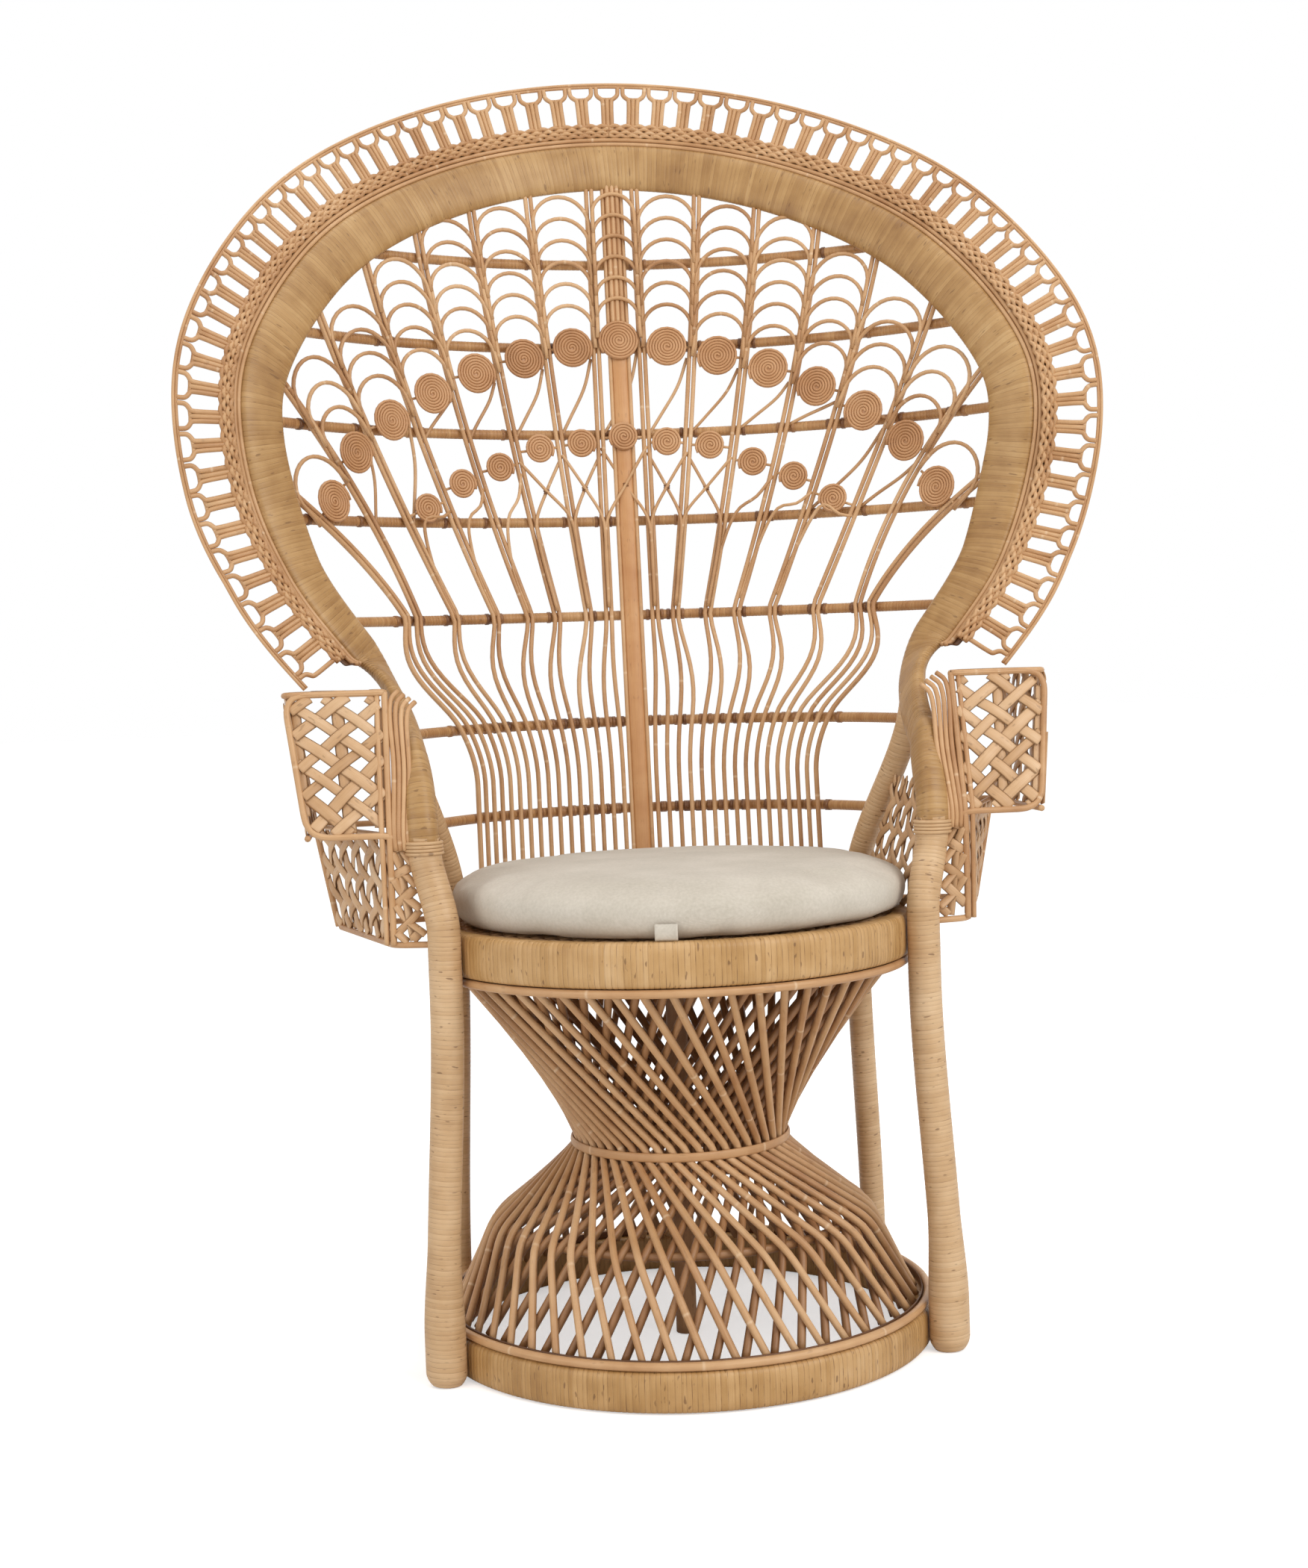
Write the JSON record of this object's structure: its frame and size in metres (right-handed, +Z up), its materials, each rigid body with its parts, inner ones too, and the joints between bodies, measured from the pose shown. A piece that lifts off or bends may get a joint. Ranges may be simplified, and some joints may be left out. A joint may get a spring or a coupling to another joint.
{
  "type": "peacock chair",
  "caption": "Wicker armchair with a wide fan-shaped openwork back, boxed cane arms, an hourglass cage base and a round seat cushion.",
  "frame": {"origin": "middle of the chair's footprint box, on the floor", "axes": "+Z up, the sitter looks along -Y, +X to the right seen from the front"},
  "size_m": [1.0338, 0.6678, 1.4608],
  "materials": {
    "pale_cane": "satin wrapped cane",
    "warm_cane": "satin lacquered rod",
    "dark_cane": "matt",
    "cushion_cotton": "plain woven cotton"
  },
  "bodies": {
    "root": {"base_hoop": "pale_cane", "base_trim_rod": "warm_cane", "cage": "warm_cane", "centre_post": "dark_cane", "seat_trim_rod": "warm_cane", "seat_hoop": "pale_cane", "seat_deck": "pale_cane", "front_leg_right": "pale_cane", "front_leg_left": "pale_cane", "post_collar_right": "pale_cane", "post_collar_left": "pale_cane", "rear_leg_right": "pale_cane", "rear_leg_left": "pale_cane", "back_band": "pale_cane", "edge_rod_inner": "warm_cane", "edge_rod_outer": "warm_cane", "border_links_right": "warm_cane", "border_links_left": "warm_cane", "border_rim": "warm_cane", "spine": "warm_cane", "rib_1": "pale_cane", "rib_2": "pale_cane", "rib_3": "pale_cane", "rib_4": "pale_cane", "rib_5": "pale_cane", "rib_6": "pale_cane", "rib_7": "pale_cane", "fan_column_centre": "warm_cane", "fan_column_1_right": "warm_cane", "fan_column_1_left": "warm_cane", "fan_column_2_right": "warm_cane", "fan_column_2_left": "warm_cane", "fan_column_3_right": "warm_cane", "fan_column_3_left": "warm_cane", "fan_column_4_right": "warm_cane", "fan_column_4_left": "warm_cane", "fan_column_5_right": "warm_cane", "fan_column_5_left": "warm_cane", "fan_column_6_right": "warm_cane", "fan_column_6_left": "warm_cane", "fan_column_7_right": "warm_cane", "fan_column_7_left": "warm_cane", "fan_side_rod_right": "warm_cane", "fan_side_rod_left": "warm_cane", "arm_frame_right": "warm_cane", "arm_frame_left": "warm_cane", "arm_front_cane_right": "pale_cane", "arm_front_cane_left": "pale_cane", "arm_top_cane_right": "pale_cane", "arm_top_cane_left": "pale_cane", "arm_side_cane_right": "pale_cane", "arm_side_cane_left": "pale_cane", "arm_skirt_cane_right": "pale_cane", "arm_skirt_cane_left": "pale_cane", "cushion": "cushion_cotton", "cushion_tab": "cushion_cotton"}
  },
  "joints": []
}
